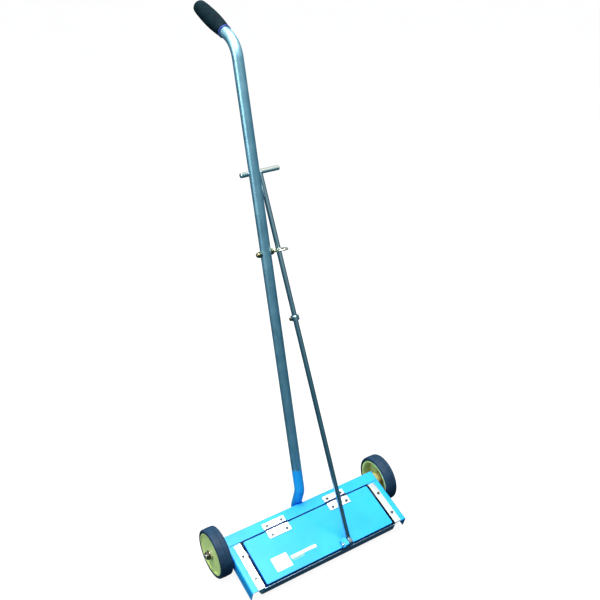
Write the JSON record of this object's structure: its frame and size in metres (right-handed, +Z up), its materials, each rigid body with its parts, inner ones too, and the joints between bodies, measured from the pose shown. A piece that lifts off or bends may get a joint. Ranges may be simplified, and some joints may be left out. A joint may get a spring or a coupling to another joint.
{
  "type": "magnetic sweeper",
  "caption": "Push-type magnetic floor sweeper: wheeled tray under a hinged magnet lid, swung up by a T-handled pull rod beside the long bent handle.",
  "frame": {"origin": "on the floor, under the centre of the standing sweeper's box", "axes": "+X to the right seen from the front, +Y towards the operator, +Z up"},
  "size_m": [0.5482, 0.5504, 1.2664],
  "materials": {
    "painted_steel": "gloss enamel",
    "stainless_tray": "bright rolled stainless sheet",
    "bare_steel": "mill finish, oiled",
    "ferrite": "sintered ferrite",
    "polished_rod": "drawn bright bar",
    "zinc_plate": "zinc plated",
    "dark_fasteners": "oil blackened",
    "hinge_steel": "bright plated",
    "screw_steel": "bright plated",
    "tube_steel": "drawn steel tube",
    "grip_rubber": "ribbed, matte",
    "tyre_rubber": "matte",
    "hub_plastic": "moulded nylon",
    "bush_plastic": "moulded acetal"
  },
  "bodies": {
    "frame": {"rear_channel": "painted_steel", "left_rail": "painted_steel", "right_rail": "painted_steel", "handle_socket": "painted_steel", "handle_weld": "painted_steel", "tray": "stainless_tray", "axle": "zinc_plate", "axle_spacers": "zinc_plate", "axle_washers": "zinc_plate", "guide_eye_bolt": "zinc_plate", "guide_nut": "zinc_plate", "guide_acorn_nut": "zinc_plate", "hinge_pins": "zinc_plate", "axle_nuts": "dark_fasteners", "left_hinge_deck_leaf": "hinge_steel", "right_hinge_deck_leaf": "hinge_steel", "tray_screws": "screw_steel", "hinge_deck_screws": "screw_steel", "handle_tube": "tube_steel", "handle_grip": "grip_rubber"},
    "lid": {"lid_cover": "painted_steel", "magnet_yoke": "bare_steel", "centre_pole": "bare_steel", "magnet_blocks": "ferrite", "pull_lug": "painted_steel", "left_hinge_lid_leaf": "hinge_steel", "right_hinge_lid_leaf": "hinge_steel", "hinge_lid_screws": "screw_steel"},
    "rod": {"pull_rod": "polished_rod", "t_bar": "polished_rod", "stop_collar": "polished_rod", "collar_screw": "dark_fasteners", "pivot_pin": "zinc_plate"},
    "left_wheel": {"left_tyre": "tyre_rubber", "left_hub": "hub_plastic", "left_bush": "bush_plastic"},
    "right_wheel": {"right_tyre": "tyre_rubber", "right_hub": "hub_plastic", "right_bush": "bush_plastic"}
  },
  "joints": [
    {"name": "lid_hinge", "type": "hinge", "parent": "frame", "child": "lid", "pos_m": [0, -0.14832, 0.08587], "axis": [-1, 0, 0], "range_deg": [0, 60]},
    {"name": "rod_pivot", "type": "hinge", "parent": "lid", "child": "rod", "pos_m": [0.0515, -0.26668, 0.05546], "axis": [-1, 0, 0], "range_deg": [-60, 0]},
    {"name": "left_wheel_spin", "type": "hinge", "parent": "frame", "child": "left_wheel", "pos_m": [-0.2458, -0.12355, 0.0625], "axis": [1, 0, 0], "continuous": true},
    {"name": "right_wheel_spin", "type": "hinge", "parent": "frame", "child": "right_wheel", "pos_m": [0.2458, -0.12355, 0.0625], "axis": [1, 0, 0], "continuous": true}
  ],
  "couplings": [
    {"joint": "rod_pivot", "follows": "lid_hinge", "ratio": -0.98131}
  ]
}
